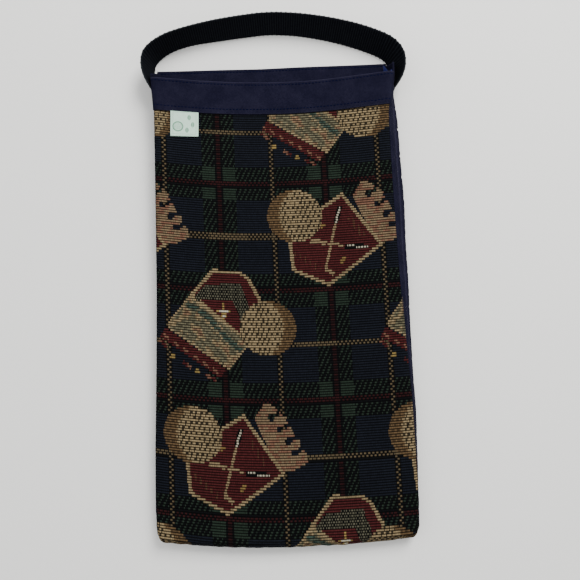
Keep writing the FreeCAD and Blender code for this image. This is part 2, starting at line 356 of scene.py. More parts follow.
def makeTapestry():
    made, tree, shader = newMaterial("tapestryWeave", 0.86)
    w = weave
    spot = clothSpot(tree)
    rowNumber = (spot.y / w["row"]).floor()
    columnNumber = (spot.x / w["step"]).floor()
    at = Spot((columnNumber + 0.5) * w["step"], (rowNumber + 0.5) * w["row"])
    odd = (rowNumber * 0.5).step("FRACT") * 2
    cloth = plaid(w, at, odd)
    shield = wrapped(at, w["crest"], w["repeat"], 40, 80)
    pair = ((rowNumber * 0.25).step("FRACT") * 2).floor()
    cloth = ball(w, shield, crest(w, shield, cloth, odd), odd, pair, -1)
    banner = wrapped(at, w["ribbon"], w["repeat"], 110, 70)
    cloth = ball(w, banner, ribbonCrest(w, banner, cloth, odd), odd, pair, 1)
    phase = (spot.y.share(w["row"]) - 0.5) * 2
    roundness = phase * phase * -1 + 1  # 1 on top of a yarn, 0 between two rows
    slide = (spot.x / w["step"] + odd * 0.5).share(2.0) - 0.5
    yarn = roundness * (slide * slide * -0.5 + 1.0)
    # painted shade: darker between the rows of yarn, and darkened under the front band's hem by the attribute
    # that underBand gives the front
    shade = (yarn * yarn * 0.95 + 0.08) * (attribute(tree, "wear_and_painted_light") * -0.93 + 1)
    light = shade * (at.chance() * 0.5 + 0.8) * (spot.cloud(0.03) * 0.5 + 0.8)
    finishMaterial(tree, shader, cloth.shaded(light), yarn, 0.55)
    return made


# plain cloths

cloths = {
    "twill": {"dark": (0.0064, 0.0062, 0.0165), "pale": (0.0230, 0.0215, 0.0430), "rib": 0.62, "depth": 0.10},
    "lining": {"dark": (0.003, 0.005, 0.048), "pale": (0.009, 0.017, 0.130), "rib": 0.40, "depth": 0.05},
}


def makePlainCloth(name, roughness, sheen):  # diagonal ribs, faded unevenly, and paler where the attribute set by the sheet says: worn pale with a painted highlight on the band's fold and hems, and a painted highlight along the gussets' ridge
    made, tree, shader = newMaterial(name + "Cloth", roughness, sheen, 0.03)
    c = cloths[name]
    spot = clothSpot(tree)
    rib = ((spot.x + spot.y) / c["rib"]).share(1.0)
    ribHeight = (rib - 0.5).size() * -2 + 1
    thread = ((spot.x - spot.y) / (c["rib"] * 0.8)).share(1.0)
    # the attribute brings wear and painted highlights; the clouds fade the cloth at random
    wearAndHighlight = attribute(tree, "wear_and_painted_light")
    fadedAndHighlit = spot.cloud(0.05, 5.0) * 0.9 + spot.cloud(0.6, 2.0) * 0.5 + wearAndHighlight * 1.0 - 0.58
    colour = spot.colour(c["dark"]).paint(fadedAndHighlit.most(0.0).least(1.0), c["pale"])
    light = (ribHeight * 0.55 + 0.55) * (thread * 0.2 + 0.9)
    height = ribHeight + thread * 0.4 + spot.cloud(0.35, 3.0) * 2.0
    finishMaterial(tree, shader, colour.shaded(light), height, c["depth"])
    return made


webbingLook = {"dark": (0.0009, 0.0011, 0.0026), "pale": (0.0260, 0.0300, 0.0340), "rib": 2.1, "cord": 1.1}


def makeWebbing():  # ribs run across the strap, over fine cords that run along it
    made, tree, shader = newMaterial("webbingCotton", 0.9, 0.0, 0.03)
    c = webbingLook
    spot = clothSpot(tree)
    rib = (spot.x.share(c["rib"]) - 0.5).size() * -2 + 1
    cord = (spot.y.share(c["cord"]) - 0.5).size() * -2 + 1
    fuzz = spot.cloud(1.4, 4.0)
    # painted highlights: paler on the crests of the ribs and cords and along both edges of the strap; the fuzz
    # varies the tone at random
    tone = (rib * 0.35 + cord * 0.2 + fuzz * 0.5 + attribute(tree, "wear_and_painted_light") * 0.7 - 0.4).most(0.0).least(1.0)
    colour = spot.colour(c["dark"]).paint(tone, c["pale"])
    finishMaterial(tree, shader, colour, rib * 0.6 + cord * 0.5 + fuzz, 0.22)
    return made


def makeThread():
    made, tree, shader = newMaterial("sewingThread", 0.9, 0.0, 0.005)
    node = tree.nodes.new("ShaderNodeTexCoord")
    wave = tree.nodes.new("ShaderNodeTexWave")
    wave.inputs["Scale"].default_value = 900.0
    tree.links.new(node.outputs["Object"], wave.inputs["Vector"])
    twist = Flow(tree, wave.outputs["Fac"])
    colour = Spot(twist, twist).colour((0.0008, 0.0016, 0.0110)).paint(twist, (0.0022, 0.0042, 0.0260))
    finishMaterial(tree, shader, colour, twist, 0.05)
    return made


labelLook = {"side": 25.4, "satin": (0.47, 0.66, 0.54), "green": (0.025, 0.150, 0.070), "thread": 0.32}


def makeLabelCloth():  # satin with a woven border, a ring and three leaves
    made, tree, shader = newMaterial("labelSatin", 0.5, 0.1)
    c = labelLook
    at = clothSpot(tree)
    half = c["side"] / 2
    edge = at.x.size().most(at.y.size())
    border = (edge - (half - 2.2)).size().under(0.18)
    ring = (at.reach(-6.0, -3.2) - 4.4).size().under(0.5)
    grain = (at.reach(-6.0, -3.2)).under(4.0) * (at.x + at.y).share(0.9).under(0.3)
    leaf = None
    for x, y in ((4.2, 5.6), (7.4, -1.2), (2.2, -6.6)):
        one = (at.reach(x - 1.6, y) - 3.2).most(at.reach(x + 1.6, y) - 3.2).under(0)
        vein = (at.x - x).size().under(0.14)
        one = one * (vein * -1 + 1)
        leaf = one if leaf is None else leaf.most(one)
    marks = (border * 0.6).most(ring).most(leaf * 0.85).most(grain * 0.8)
    line = (at.y.share(c["thread"]) - 0.5).size() * -2 + 1
    colour = at.colour(c["satin"]).paint(marks * 0.8, c["green"])
    light = (line * 0.12 + 0.9) * (at.cloud(0.3) * 0.2 + 0.9)
    finishMaterial(tree, shader, colour.shaded(light), line + marks, 0.06)
    return made


print("making materials")
materials = {
    "tapestry": makeTapestry(),
    "twill": makePlainCloth("twill", 0.95, 0.0),
    "lining": makePlainCloth("lining", 0.75, 0.05),
    "webbing": makeWebbing(),
    "thread": makeThread(),
    "label": makeLabelCloth(),
}


# the bag's shape, read from the frame

baseY = low("base_panel").y
mouthY = high("front_panel").y
straightY = baseY + 12  # the sides are straight from here up
bandDepth = high("front_band").y - low("front_band").y
bag = {
    "cornerRadius": 10.5,  # of the base, seen from above
    "nose": 3.6,  # how far the base bulges past its seam
    "bow": (6.0, 5.0),  # how much the base is pulled back at its left and right
    "ripple": 0.55,  # size of the soft unevenness in the front
    "roll": 4.5,  # width of the front's rounded edge
    "plaidStart": (-99.0, 127.6),  # where two tan lines of the plaid cross
    "plaidLean": 0.0194,
    "plaidBow": ((4.0, 6.0), (1.0, 3.5)),  # how much the plaid's rows drop towards the left and right edges
    # how far each edge moves right of the plain pattern, by the distance up from the base
    "trimLeft": [(382, 0.0), (412, -2.3)],
    "trim": [
        (30, -0.8), (68, -1.2), (112, -0.3), (171, -1.2),
        (262, -2.0), (372, -2.0), (382, -0.9), (412, 3.0),
    ],
}


def treeOf(node):
    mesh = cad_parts[node].data
    points = [v.co / mm for v in mesh.vertices]
    return BVHTree.FromPolygons(points, [tuple(p.vertices) for p in mesh.polygons]), points


frontTree, frontPoints = treeOf("front_panel")


def edgeTable(points):  # the leftmost and rightmost place, and its height, at each cross-section
    table = {}
    for p in points:
        key = round(p.y)
        left, right = table.get(key, (p, p))
        leftKey, rightKey = (left.x - left.z * 0.01, right.x + right.z * 0.01)
        table[key] = (p if p.x - p.z * 0.01 < leftKey else left, p if p.x + p.z * 0.01 > rightKey else right)
    wide = [key for key, (left, right) in table.items() if right.x - left.x > 190]
    return [(key, *table[key]) for key in sorted(wide)]


edgeRows = edgeTable(frontPoints)


def between(rows, y, read):
    if y <= rows[0][0]:
        return read(rows[0])
    for first, second in zip(rows, rows[1:]):
        if y <= second[0]:
            part = (y - first[0]) / (second[0] - first[0])
            return read(first) * (1 - part) + read(second) * part
    return read(rows[-1])


def sides(y):  # smoothed outline of the front: left x, right x and the height of each edge
    total = [0.0] * 4
    reads = (lambda r: r[1].x, lambda r: r[2].x, lambda r: r[1].z, lambda r: r[2].z)
    steps = (-24, -12, 0, 12, 24)
    for step in steps:
        for index, read in enumerate(reads):
            total[index] += between(edgeRows, y + step, read) / len(steps)
    return total


def trimAt(y, rows="trim"):
    return between(bag[rows], y - baseY, lambda row: row[1])


sideCache = {}


def sidesAt(y):
    key = round(y * 2)
    if key not in sideCache:
        sideCache[key] = sides(key / 2)
        sideCache[key][0] += trimAt(key / 2, "trimLeft")
        sideCache[key][1] += trimAt(key / 2)
    return sideCache[key]


def wrinkle(x, y, scale, seed):
    return noise.noise(Vector((x / scale, y / scale, seed)))


def frontHeight(x, y):  # outer face of the front cloth
    left, right, leftZ, rightZ = sidesAt(y)
    inX = min(max(x, left + 0.6 - trimAt(y, "trimLeft")), right - 0.6 - max(0.0, trimAt(y)))
    inY = min(max(y, edgeRows[0][0] + 0.6), mouthY - 0.4)
    hit = frontTree.ray_cast(Vector((inX, inY, 100.0)), Vector((0, 0, -1)))[0]
    z = hit.z if hit else max(leftZ, rightZ)
    away = min(x - left, right - x)
    calm = min(1.0, max(0.0, away / 25.0))
    z += bag["ripple"] * calm * (wrinkle(x, y, 55, 3.1) * 2.0 + wrinkle(x, y, 21, 8.2) * 0.8)
    if away < bag["roll"]:
        bend = (bag["roll"] - max(away, 0.0)) / bag["roll"]
        z -= 1.5 * bend * bend
    return z


def weaveUv(x, y):
    dx, dy = x - bag["plaidStart"][0], y - bag["plaidStart"][1]
    across = dx + bag["plaidLean"] * dy
    side, down = (across - 100.5) / 107.5, (32 - dy) / 394
    near, far = bag["plaidBow"][0 if side < 0 else 1]
    return across, dy + 4.5 * (1 - down) - (near + far * down) * side * side


# building sheets of cloth


def sheetMesh(name, across, along, place, material, wear_and_painted_light=None, turned=False):
    # place(u, v) gives a point in millimetres and its place on the cloth map
    bm = bmesh.new()
    bmesh.ops.create_grid(bm, x_segments=across, y_segments=along, size=1.0)
    uvLayer = bm.loops.layers.uv.new("cloth")
    # per-vertex attribute of wear and painted light: painted shade under the front band, painted highlights on
    # the band's fold and hems, the gussets' ridge and the strap's edges, and wear on the band
    wearAndPaintedLightLayer = bm.verts.layers.float.new("wear_and_painted_light")
    spots = {}
    for vert in bm.verts:
        u, v = (vert.co.x + 1) / 2, (vert.co.y + 1) / 2
        point, spot = place(u, v)
        vert.co = Vector(point) * mm
        vert[wearAndPaintedLightLayer] = wear_and_painted_light(u, v) if wear_and_painted_light else 0.0
        spots[vert] = (spot[0] * mm, spot[1] * mm)
    for face in bm.faces:
        face.smooth = True
        for loop in face.loops:
            loop[uvLayer].uv = spots[loop.vert]
    if turned:
        bmesh.ops.reverse_faces(bm, faces=bm.faces)
    mesh = bpy.data.meshes.new(name)
    bm.to_mesh(mesh)
    bm.free()
    obj = bpy.data.objects.new(name, mesh)
    bpy.context.scene.collection.objects.link(obj)
    mesh.materials.append(materials[material])
    return obj


def thicken(obj, thickness, offset=-1.0):
    change = obj.modifiers.new("thickness", "SOLIDIFY")
    change.thickness = thickness * mm
    change.offset = offset
    change.use_even_offset = True
    bpy.context.view_layer.update()
    ready = obj.evaluated_get(bpy.context.evaluated_depsgraph_get())
    mesh = bpy.data.meshes.new_from_object(ready)
    obj.modifiers.clear()
    obj.data = mesh
    return obj


def settle(obj, body, node):
    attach(obj, body)
    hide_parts(node)


def lerp(a, b, t):
    return a + (b - a) * t


def baseLine(x):  # outermost y of the base
    reach = (x - 5.0) / 100.0
    return baseY + bag["bow"][0 if reach < 0 else 1] * reach * reach


def seamLine(x, y0):  # the front's lower edge, with its rounded corners
    left, right, _, _ = sidesAt(y0)
    radius = bag["cornerRadius"] - bag["nose"]
    away = min(x - left, right - x)
    start = baseLine(x) + bag["nose"]
    if away < radius:
        start += radius - math.sqrt(max(0.0, radius * radius - (radius - away) ** 2))
    return start


bandLow = low("front_band").y
band = {
    "out": 0.9,  # outer face above the tapestry
    "fold": 1.3,  # radius of the fold
    "sag": 2.5,  # how far the band's middle hangs below its ends
    "stitchPitch": 3.0,
    "stitchLength": 2.2,
    "stitchLift": 0.12,
    "stitchWidth": 0.85,
    "topRow": 3.0,  # below the fold
    "lowRow": 4.6,  # above the lower edge
}


def sagAt(x, left, right):  # how far the front band's middle hangs below its ends
    return -band["sag"] * math.sin(math.pi * min(1.0, max(0.0, (x - left) / (right - left))))


front = {
    "tuck": 4.0,  # how far the tapestry runs on under the band
    "pucker": 0.35,  # size, width and depth of the puckers along the base seam
    "puckerWide": 4.5,
    "puckerDeep": 14.0,
    "sunk": 0.15,
}


def frontSpot(u, v):
    left, right, _, _ = sidesAt(lerp(baseY, bandLow, v))
    x = lerp(left, right, u)
    return left, right, x, lerp(seamLine(x, straightY), bandLow + front["tuck"], v)


def underBand(u, v):  # 1 where the front band's hem keeps the light off the tapestry
    left, right, x, y = frontSpot(u, v)
    gap = bandLow + 0.7 + sagAt(x, left, right) - y
    return min(1.0, max(0.0, 1.5 - gap / 1.3)) if gap > -1.0 else 1.0


def placeFront(u, v):
    _, _, x, y = frontSpot(u, v)
    deep = max(0.0, 1 - (y - baseY) / front["puckerDeep"])
    puckered = y + front["pucker"] * wrinkle(x, 0, front["puckerWide"], 1.0) * deep
    return (x, puckered, frontHeight(x, puckered) - front["sunk"]), weaveUv(x, y)


print("front panel")
frontPanel = thicken(sheetMesh("front_tapestry", 120, 210, placeFront, "tapestry", underBand), 1.1)
settle(frontPanel, "front", "front_panel")


# back panel and base panel


back = {
    "inset": 3.0,  # of each side from the front's
    "start": 17.0,  # above the base's outermost line
    "end": 3.0,  # below its mouth edge
    "ground": 0.15,
    "wave": 0.5,
    "waveWide": 60.0,
    "weaveShift": (20, 31),
}


def backSides(y):
    left, right, _, _ = sidesAt(y)
    return left + back["inset"], right - back["inset"]


def liftUnderBand(y):  # the back rises a little over its own band
    part = (y - baseY - 383.0) / 10.0
    return 1.2 * min(1.0, max(0.0, part))


def placeBack(u, v):
    y = lerp(baseY + back["start"], high("back_panel").y - back["end"], v)
    left, right = backSides(y)
    x = lerp(left, right, u)
    calm = min(1.0, 8.0 * u * (1 - u))
    wave = calm * max(0.0, 0.5 + wrinkle(x, y, back["waveWide"], 12.0)) * back["wave"]
    shiftX, shiftY = back["weaveShift"]
    return (x, y, back["ground"] + liftUnderBand(y) + wave), weaveUv(shiftX - x, y + shiftY)


nose = {
    # how far in from the outermost line, and how high, from the front's seam round to the back's
    "profile": [
        (3.4, 13.7), (1.7, 12.6), (0.5, 10.9), (0.0, 8.6), (0.1, 6.2),
        (0.8, 3.9), (2.4, 1.9), (5.2, 0.7), (10.0, 0.2), (18.0, 0.1),
    ],
    "pucker": 0.7,
}


def alongLine(points, part):  # a place on a line of points, by its share of the line's length
    lengths = [math.dist(a, b) for a, b in zip(points, points[1:])]
    left = part * sum(lengths)
    for (a, b), long in zip(zip(points, points[1:]), lengths):
        if left <= long:
            return [lerp(p, q, left / long) for p, q in zip(a, b)]
        left -= long
    return list(points[-1])


def placeNose(u, v):
    outline = nose["profile"]
    out, z = alongLine(outline, v)
    left, right, _, _ = sidesAt(straightY)
    x = lerp(left + 3.0 * v * v, right - 3.0 * v * v, u)
    fade = 1 - min(1.0, max(0.0, (out - 3.4) / 12.0)) if z < 5 else 1.0
    y = baseY + out + (seamLine(x, straightY) - baseY - bag["nose"]) * fade
    gather = nose["pucker"] * wrinkle(x, 0, 6.5, 4.0) + 0.5 * wrinkle(x, 0, 19, 9.0)
    y += gather * (1 - v) * math.sin(math.pi * min(1.0, v * 2.2))
    tilt = (frontHeight(x, baseY + 8.0) - 15.0) * (z / 14.0)
    return (x, y, max(0.1, z + tilt)), weaveUv(x, baseY + 3 - 34 * v)


print("back and base panels")
backPanel = thicken(sheetMesh("back_tapestry", 60, 110, placeBack, "tapestry"), 1.0, 1.0)
settle(backPanel, "base_and_back", "back_panel")
basePanel = thicken(sheetMesh("base_tapestry", 150, 36, placeNose, "tapestry", turned=True), 1.0)
settle(basePanel, "base_and_back", "base_panel")


# linings of thin blue cloth

lining = {
    "depth": 1.75,  # of the front's lining below the front's face
    "side": 1.6,  # in from the panel's edges
    "start": 1.5,  # above the base seam
    "lap": 6.0,  # under the band
    "backStart": 16.0,
    "backLap": 4.0,
    "backHeight": 1.7,
}


def placeFrontLining(u, v):
    left, right, _, _ = sidesAt(lerp(baseY + 5.0, bandLow + lining["lap"], v))
    x = lerp(left + lining["side"], right - lining["side"], u)
    y = lerp(seamLine(x, straightY) + lining["start"], bandLow + lining["lap"], v)
    return (x, y, frontHeight(x, y) - lining["depth"] + 0.2 * wrinkle(x, y, 14, 5.0)), (x, y)


def placeBackLining(u, v):
    y = lerp(baseY + lining["backStart"], high("back_lining").y + lining["backLap"], v)
    left, right = backSides(y)
    x = lerp(left + lining["start"], right - lining["start"], u)
    z = lining["backHeight"] + liftUnderBand(y) + 0.35 * abs(wrinkle(x, y, 17, 2.0))
    return (x, y, z), (x, y)


def placeBaseLining(u, v):
    outline = [(out * 0.8 + 2.0, z * 0.8 + 1.9) for out, z in nose["profile"][:8]]
    out, z = alongLine(outline, v)
    left, right, _, _ = sidesAt(straightY)
    x = lerp(left + 3.0, right - 3.0, u)
    return (x, seamLine(x, straightY) - bag["nose"] + out, z), (x, baseY - 20 * v)


print("linings")
frontLining = sheetMesh("front_lining_cloth", 60, 110, placeFrontLining, "lining")
settle(thicken(frontLining, 0.3), "front", "front_lining")
backLining = sheetMesh("back_lining_cloth", 60, 110, placeBackLining, "lining")
settle(thicken(backLining, 0.3), "base_and_back", "back_lining")
baseLining = sheetMesh("base_lining_cloth", 60, 12, placeBaseLining, "lining", turned=True)
settle(thicken(baseLining, 0.3), "base_and_back", "base_lining")


# bands of navy twill, folded over the mouth


def bandSides(y):
    left, right, _, _ = sidesAt(y)
    return left - 0.5, right + 0.5


def folded(distance, depth, fold, top):  # a band's cloth runs up, over its fold and down again
    turn = math.pi * fold
    if distance < depth:
        return top - depth + distance, 0.0
    if distance < depth + turn:
        angle = (distance - depth) / fold
        return top + fold * math.sin(angle), fold * (1 - math.cos(angle))
    return top - (distance - depth - turn), 2 * fold


def frontBandPlace(u, distance):  # distance runs from the outer face's lower edge, over the fold
    depth, fold = bandDepth - band["fold"], band["fold"]
    turn = math.pi * fold
    left, right = bandSides(bandLow + max(0.0, min(distance, 2 * depth + turn - distance)))
    x = lerp(left, right, u)
    shift = sagAt(x, left, right)
    y, down = folded(distance, depth, fold, mouthY + 0.7 + shift - fold)
    z = frontHeight(x, min(y, mouthY - 1.0)) + band["out"] - down
    out = 1.0 if down < 0.01 else 0.0
    hem = max(0.0, 1 - distance / 1.2)
    z -= 0.5 * hem * hem
    rows = (band["lowRow"], depth - band["topRow"] + fold)
    near = min(abs(distance - row) for row in rows)
    z -= out * 0.28 * max(0.0, 1 - near / 1.1) * (0.75 + 0.25 * math.cos(x * 2 * math.pi / band["stitchPitch"]))
    z += out * 0.22 * wrinkle(x, distance, 9.0, 7.0) * min(1.0, distance / 4.0)
    return Vector((x, y, z)), (x, distance)


bandRun = 2 * (bandDepth - band["fold"]) + math.pi * band["fold"] - 1.5


# paler along the fold and both hems: partly worn pale, partly a painted highlight where the rounded cloth
# catches the light
def bandWearAndHighlight(u, v):
    fold = abs(v - 0.5) * bandRun
    edge = min(v, 1 - v) * bandRun
    return max(0.0, 1 - fold / 1.6) * 0.9 + max(0.0, 1 - edge / 1.4) * 0.55


def placeFrontBand(u, v):
    return frontBandPlace(u, v * bandRun)


backBand = {"low": high("back_band").y - 30.8, "top": high("back_band").y, "thick": 3.0}


def backBandPlace(u, distance):  # distance runs from the inner face's lower edge, over the fold, and under
    fold = backBand["thick"] / 2
    depth = backBand["top"] - backBand["low"] - fold
    left, right = backSides(backBand["low"])
    x = lerp(left - 3.4, right + 2.6, u)
    wave = 0.5 * wrinkle(x, 0, 60, 3.0) + 3.6 * max(0.0, u - 0.45)
    y, down = folded(distance, depth, fold, backBand["top"] - fold - 0.4 + wave)
    z = 0.35 + backBand["thick"] - down
    near = abs(distance - (depth - 1.6))
    if down < 0.01:
        z -= 0.25 * max(0.0, 1 - near / 1.1)
        z += 0.25 * wrinkle(x, distance, 11.0, 2.0)
    return Vector((x, y, z)), (x, distance)


def placeBackBand(u, v):
    return backBandPlace(u, v * (2 * (backBand["top"] - backBand["low"]) + 0.5))


print("bands")
frontBand = thicken(sheetMesh("front_band_twill", 250, 96, placeFrontBand, "twill", bandWearAndHighlight), 0.7)
settle(frontBand, "front", "front_band")
backBandCloth = thicken(sheetMesh("back_band_twill", 150, 70, placeBackBand, "twill", bandWearAndHighlight), 0.7)
settle(backBandCloth, "base_and_back", "back_band")


# stitches


def sewRow(name, places, length, width, node, body):
    # places are pairs of a middle point and a direction, in millimetres; each stitch is a small sunk bead
    bm = bmesh.new()
    for middle, along, up in places:
        side = up.cross(along).normalized()
        made = bmesh.ops.create_uvsphere(bm, u_segments=6, v_segments=5, radius=0.5)["verts"]
        for vert in made:
            x, y, z = vert.co
            vert.co = (middle + along * (z * length) + side * (x * width) + up * (y * width * 0.8)) * mm
    for face in bm.faces:
        face.smooth = True
    mesh = bpy.data.meshes.new(name)
    bm.to_mesh(mesh)
    bm.free()
    obj = bpy.data.objects.new(name, mesh)
    bpy.context.scene.collection.objects.link(obj)
    mesh.materials.append(materials["thread"])
    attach(obj, body)
    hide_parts(node)
    return obj


def stitchesAcross(place, distance):  # along one row of a band
    found, upward = [], Vector((0, 0, 1))
    left, right = place(0.0, distance)[0].x, place(1.0, distance)[0].x
    count = int((right - left - 3) / band["stitchPitch"])
    for index in range(count):
        middle = (index + 0.5) / count
        step = band["stitchLength"] * 0.5 / (right - left)
        a, b = place(middle - step, distance)[0], place(middle + step, distance)[0]
        found.append(((a + b) / 2 + upward * band["stitchLift"], (b - a).normalized(), upward))
    return found


def sewBand(name, place, distances, body):
    for row, distance in zip(("top", "lower"), distances):
        places = stitchesAcross(place, distance)
        node = f"{name}_{row}_stitching"
        sewRow(f"{name}_{row}_stitches", places, band["stitchLength"], band["stitchWidth"], node, body)


print("stitching")
frontRows = (bandDepth - band["topRow"], band["lowRow"])
sewBand("front_band", frontBandPlace, frontRows, "front")
backRows = (backBand["top"] - backBand["low"] - backBand["thick"] / 2 - 1.6, 3.6)
sewBand("back_band", backBandPlace, backRows, "base_and_back")


# gussets: two strips a side, which meet at a creased ridge

gussetPoints = {side: treeOf(side + "_gusset")[1] for side in ("left", "right")}
gusset = {
    "radius": 8.5,
    "start": {"left": 9.8, "right": 8.6},  # up from the base
    "peek": {"left": 1.0, "right": 1.2},  # least that the cloth stands out past the front's edge
    "leanFrom": 384.0,  # up from the base, where the side starts to lean outward
    "leanOver": 26.0,
    "hem": {"left": (4.0, 16.5), "right": (9.0, 18.0)},  # past the mouth, at the front and at the back
    # how far the right side stands out beyond the plain pattern, by the distance up from the base
    "flare": [(40, 0.0), (68, 1.0), (112, 2.5), (171, 2.0), (262, 2.8), (372, 2.8), (400, 0.8), (412, 1.5)],
}


def reachTable(points, sign):  # how far out the gusset comes at each cross-section
    table = {}
    for p in points:
        key = round(p.y)
        table[key] = max(table.get(key, -999.0), p.x * sign)
    return sorted(table.items())


gussetReach = {side: reachTable(gussetPoints[side], sign) for side, sign in (("left", -1), ("right", 1))}


def reachAt(side, y):
    total = 0.0
    for step in (-20, -10, 0, 10, 20):
        total += between(gussetReach[side], min(max(y + step, baseY + 8), mouthY), lambda row: row[1])
    return total / 5 + (between(gusset["flare"], y - baseY, lambda row: row[1]) if side == "right" else 0.0)


def gussetSection(side, y):  # corners of the cross-section from the front's edge down to the back's
    left, right, leftZ, rightZ = sidesAt(y)
    edge, top = (-left, leftZ) if side == "left" else (right, rightZ)
    out = max(reachAt(side, y) - edge, gusset["peek"][side])
    bend = gusset["radius"]
    away = y - baseY - gusset["start"][side] + 1.0
    pull = bend - math.sqrt(max(0.0, bend * bend - (bend - away) ** 2)) if away < bend else 0.0
    ripple = 0.5 * wrinkle(y, 0, 38, 5.0 if side == "left" else 9.0) * min(1.0, max(0.0, (y - baseY - 30) / 60))
    edge, out = edge - pull, out + ripple * min(1.0, out / 3)
    points = [
        (edge - 0.4, top - 1.5),
        (edge + 0.30 * out, top * 0.80),
        (edge + 0.52 * out, top * 0.66),
        (edge + 0.62 * out, top * 0.60),
        (edge + 0.96 * out, top * 0.42),
        (edge + out, top * 0.30),
        (edge + 0.8 * out - 0.6, top * 0.13),
        (edge - 3.2, 1.0 + liftUnderBand(y)),
    ]
    standing = [  # near the mouth the side leans outward instead, with its ridge high up
        (edge - 0.4, top - 1.5),
        (edge + 0.45 * out, top * 0.92),
        (edge + 0.80 * out, top * 0.88),
        (edge + out, top * 0.82),
        (edge + 0.70 * out - 0.6, top * 0.62),
        (edge + 0.25 * out - 1.2, top * 0.38),
        (edge - 2.2, top * 0.18),
        (edge - 4.4, 1.0 + liftUnderBand(y)),
    ]
    lean = min(1.0, max(0.0, (y - baseY - gusset["leanFrom"]) / gusset["leanOver"]))
    lean = lean * lean * (3 - 2 * lean)
    return [tuple(lerp(p, q, lean) for p, q in zip(a, b)) for a, b in zip(points, standing)]


def gussetPlacer(side, upper, inside=0.0):
    sign = -1 if side == "left" else 1

    def place(u, v):
        start = baseY + gusset["start"][side]
        hemFront, hemBack = (mouthY + more - (7.0 if inside else 0.0) for more in gusset["hem"][side])
        guess = gussetSection(side, lerp(start, hemBack, v))
        part = alongLine(guess[:3] if upper else guess[2:], u)
        share = min(1.0, max(0.0, part[1] / 26.0))
        hem = lerp(hemBack, hemFront, share)
        tuft = max(0.0, u - 0.5) * 2 if inside and side == "right" and not upper else 0.0
        hem += 8.0 * tuft * (1 - 0.3 * u)  # a corner of the lining has come loose
        y = lerp(start, hem, v)
        points = gussetSection(side, y)
        x, z = alongLine(points[:3] if upper else points[2:], u)
        x -= inside
        if inside:
            z = max(z, 2.3 + liftUnderBand(y)) if not upper else z - 0.6
            z += tuft * min(1.0, max(0.0, (y - mouthY) / 8)) * (3.0 + 2.0 * wrinkle(x, y, 3.5, 6.0))
        across = (u if upper else 1 + u) * 12.0
        return (x * sign, y, z), (across, y)

    return place


# painted highlight: a pale line along the creased ridge where the two strips meet
def ridgeHighlight(upper):
    def wear_and_painted_light(u, v):
        near = 1 - u if upper else u
        return max(0.0, 1 - near * (6.0 if upper else 10.0)) * 0.8

    return wear_and_painted_light


hinge = {"slope": 0.02, "lower": (-1.0, 6.9), "upper": (8.3, 13.5)}


def blendGusset(obj, upper):  # the strip's place is baked into its mesh; the hinge range picked for its edges is not used
    first, last = hinge["upper"] if upper else hinge["lower"]
    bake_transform(obj)


print("gussets")
gussetCuts = {  # width and area of each strip's cut, which tapers to the base
    ("left", "twill"): ((0.0120, 0.0031), (0.0240, 0.0072)),
    ("right", "twill"): ((0.0120, 0.0034), (0.0270, 0.0084)),
    ("left", "lining"): ((0.0115, 0.0029), (0.0220, 0.0062)),
    ("right", "lining"): ((0.0115, 0.0032), (0.0250, 0.0072)),
}
for (side, layer), cuts in gussetCuts.items():
    inside, wall, rows, columns = (0.0, 0.7, 230, 14) if layer == "twill" else (1.6, 0.3, 110, 8)
    for upper, (wide, area) in zip((True, False), cuts):
        name = f"{side}_gusset_{'upper' if upper else 'lower'}_{layer}"
        place = gussetPlacer(side, upper, inside)
        strip = thicken(sheetMesh(name, columns, rows, place, layer, ridgeHighlight(upper), side == "left"), wall)
        blendGusset(strip, upper)
        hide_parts(side + ("_gusset" if layer == "twill" else "_gusset_lining"))


# handle of ribbed cotton webbing, standing on its edge

strapShift = (high("right_box_stitching").x - 110.95, baseY)
strap = {
    # lower edge's route, how far the upper edge leans out from it, and the share of the width that stands up
    "route": [
        (-106.0, 388.0, 2.0, 0.62), (-107.5, 397.0, 4.5, 0.70), (-109.5, 404.0, 6.2, 0.86),
        (-112.0, 412.0, 7.4, 0.96), (-114.2, 420.0, 7.6, 1.0), (-115.0, 427.0, 7.4, 1.0),
        (-113.6, 433.8, 6.8, 1.0), (-107.6, 440.6, 6.0, 1.0), (-97.0, 447.2, 5.2, 1.0),
        (-80.0, 452.6, 5.2, 1.0), (-58.0, 455.8, 7.6, 1.0), (-34.0, 458.8, 8.8, 1.0),
        (-8.0, 461.2, 9.0, 1.0), (18.0, 459.6, 9.4, 1.0), (44.0, 454.6, 10.6, 1.0),
        (68.0, 447.6, 12.0, 1.0), (86.0, 440.6, 12.6, 1.0), (98.0, 434.4, 12.6, 1.0),
        (104.0, 427.8, 12.2, 1.0), (106.0, 420.0, 11.2, 1.0), (106.0, 412.0, 9.8, 0.96),
        (104.6, 404.0, 7.6, 0.86), (103.0, 397.0, 4.5, 0.70), (102.0, 388.0, 2.0, 0.62),
    ],
    "wide": 25.4,
    "thick": 2.0,
    "ground": 0.6,
    "rib": 4.2,  # between two scallops of the edge
    "scallop": 0.62,
    "fine": 2.1,  # between two of the fine ribs
}


def curveThrough(points, per):  # a smooth line through a few points
    found = []
    padded = [points[0]] + points + [points[-1]]
    for around in zip(padded, padded[1:], padded[2:], padded[3:]):
        for step in range(per):
            t = step / per
            place = []
            for p, q, r, s in zip(*around):
                slope, bend, twist = r - p, 2 * p - 5 * q + 4 * r - s, 3 * q - p - 3 * r + s
                place.append(0.5 * (2 * q + slope * t + bend * t * t + twist * t**3))
            found.append(place)
    return found + [list(points[-1])]


def strapLine():
    fine = curveThrough(strap["route"], 24)
    lengths = [0.0]
    for a, b in zip(fine, fine[1:]):
        lengths.append(lengths[-1] + math.dist(a[:2], b[:2]))
    return fine, lengths


strapFine, strapLengths = strapLine()
strapLong = strapLengths[-1]


